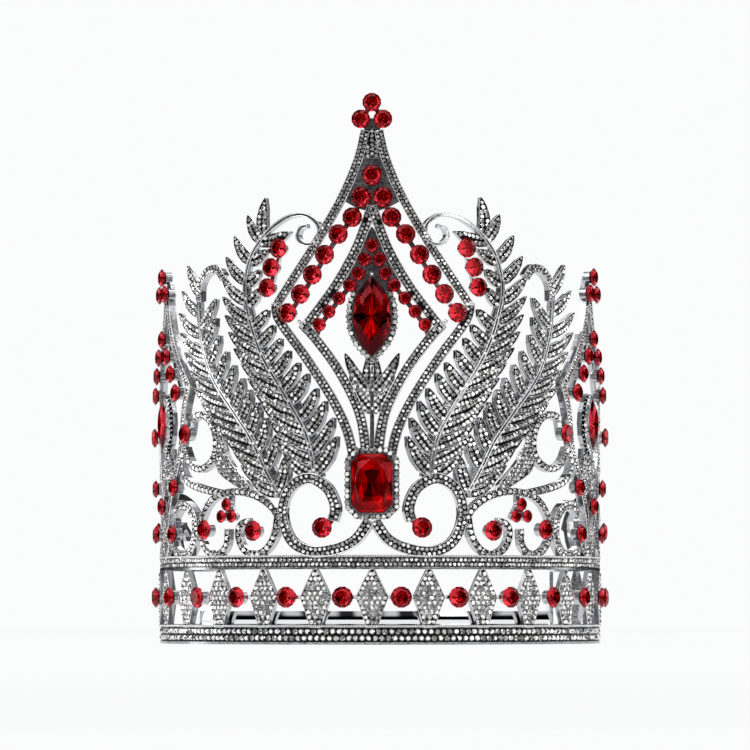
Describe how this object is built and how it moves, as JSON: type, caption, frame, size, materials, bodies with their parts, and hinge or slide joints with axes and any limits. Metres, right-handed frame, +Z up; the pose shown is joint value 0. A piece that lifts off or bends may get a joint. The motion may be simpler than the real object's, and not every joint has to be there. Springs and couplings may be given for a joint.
{
  "type": "pageant crown",
  "caption": "Round pageant crown: openwork wall of cast ferns, scrolls and a diamond-shaped front peak over a banded gallery, set with red stones, with a sliding ribbon strap at the back.",
  "frame": {"origin": "on the ring's own axis, in the plane of its foot, where a head or a floor meets it", "axes": "+Z up along the ring's axis, front peak towards -Y, +X to the viewer's right"},
  "size_m": [0.1538, 0.1498, 0.1777],
  "materials": {
    "rhodium_metal": "bright rhodium-plated casting",
    "polished_ribbon": "mirror polished ribbon",
    "grey_metal": "satin grey",
    "clear_stone": "clear faceted rhinestone",
    "red_stone": "dark red faceted rhinestone"
  },
  "bodies": {
    "root": {"crown_frame": "rhodium_metal", "inner_ribbon": "polished_ribbon", "strap_left": "polished_ribbon", "strap_right": "polished_ribbon", "collar_left": "polished_ribbon", "collar_right": "polished_ribbon", "pin_loop_left": "grey_metal", "pin_loop_right": "grey_metal", "front_marquise": "red_stone", "front_octagon": "red_stone", "side_marquise_left": "red_stone", "side_marquise_right": "red_stone", "gallery_stones": "red_stone", "inner_row_stones": "red_stone", "trefoil_stones": "red_stone", "side_stones_left": "red_stone", "side_stones_right": "red_stone", "finial_stone_top": "red_stone", "finial_stone_left": "red_stone", "finial_stone_right": "red_stone", "scroll_stone_left": "red_stone", "scroll_stone_right": "red_stone", "curl_stone_left": "red_stone", "curl_stone_right": "red_stone", "arch_stone_left_1": "red_stone", "arch_stone_left_2": "red_stone", "arch_stone_right_1": "red_stone", "arch_stone_right_2": "red_stone", "fern_stone_left_1": "red_stone", "fern_stone_left_2": "red_stone", "fern_stone_left_3": "red_stone", "fern_stone_right_1": "red_stone", "fern_stone_right_2": "red_stone", "fern_stone_right_3": "red_stone", "peak_stone_top": "red_stone", "peak_stone_left_1": "red_stone", "peak_stone_left_2": "red_stone", "peak_stone_left_3": "red_stone", "peak_stone_left_4": "red_stone", "peak_stone_left_5": "red_stone", "peak_stone_left_6": "red_stone", "peak_stone_left_7": "red_stone", "peak_stone_right_1": "red_stone", "peak_stone_right_2": "red_stone", "peak_stone_right_3": "red_stone", "peak_stone_right_4": "red_stone", "peak_stone_right_5": "red_stone", "peak_stone_right_6": "red_stone", "peak_stone_right_7": "red_stone"}
  },
  "joints": []
}
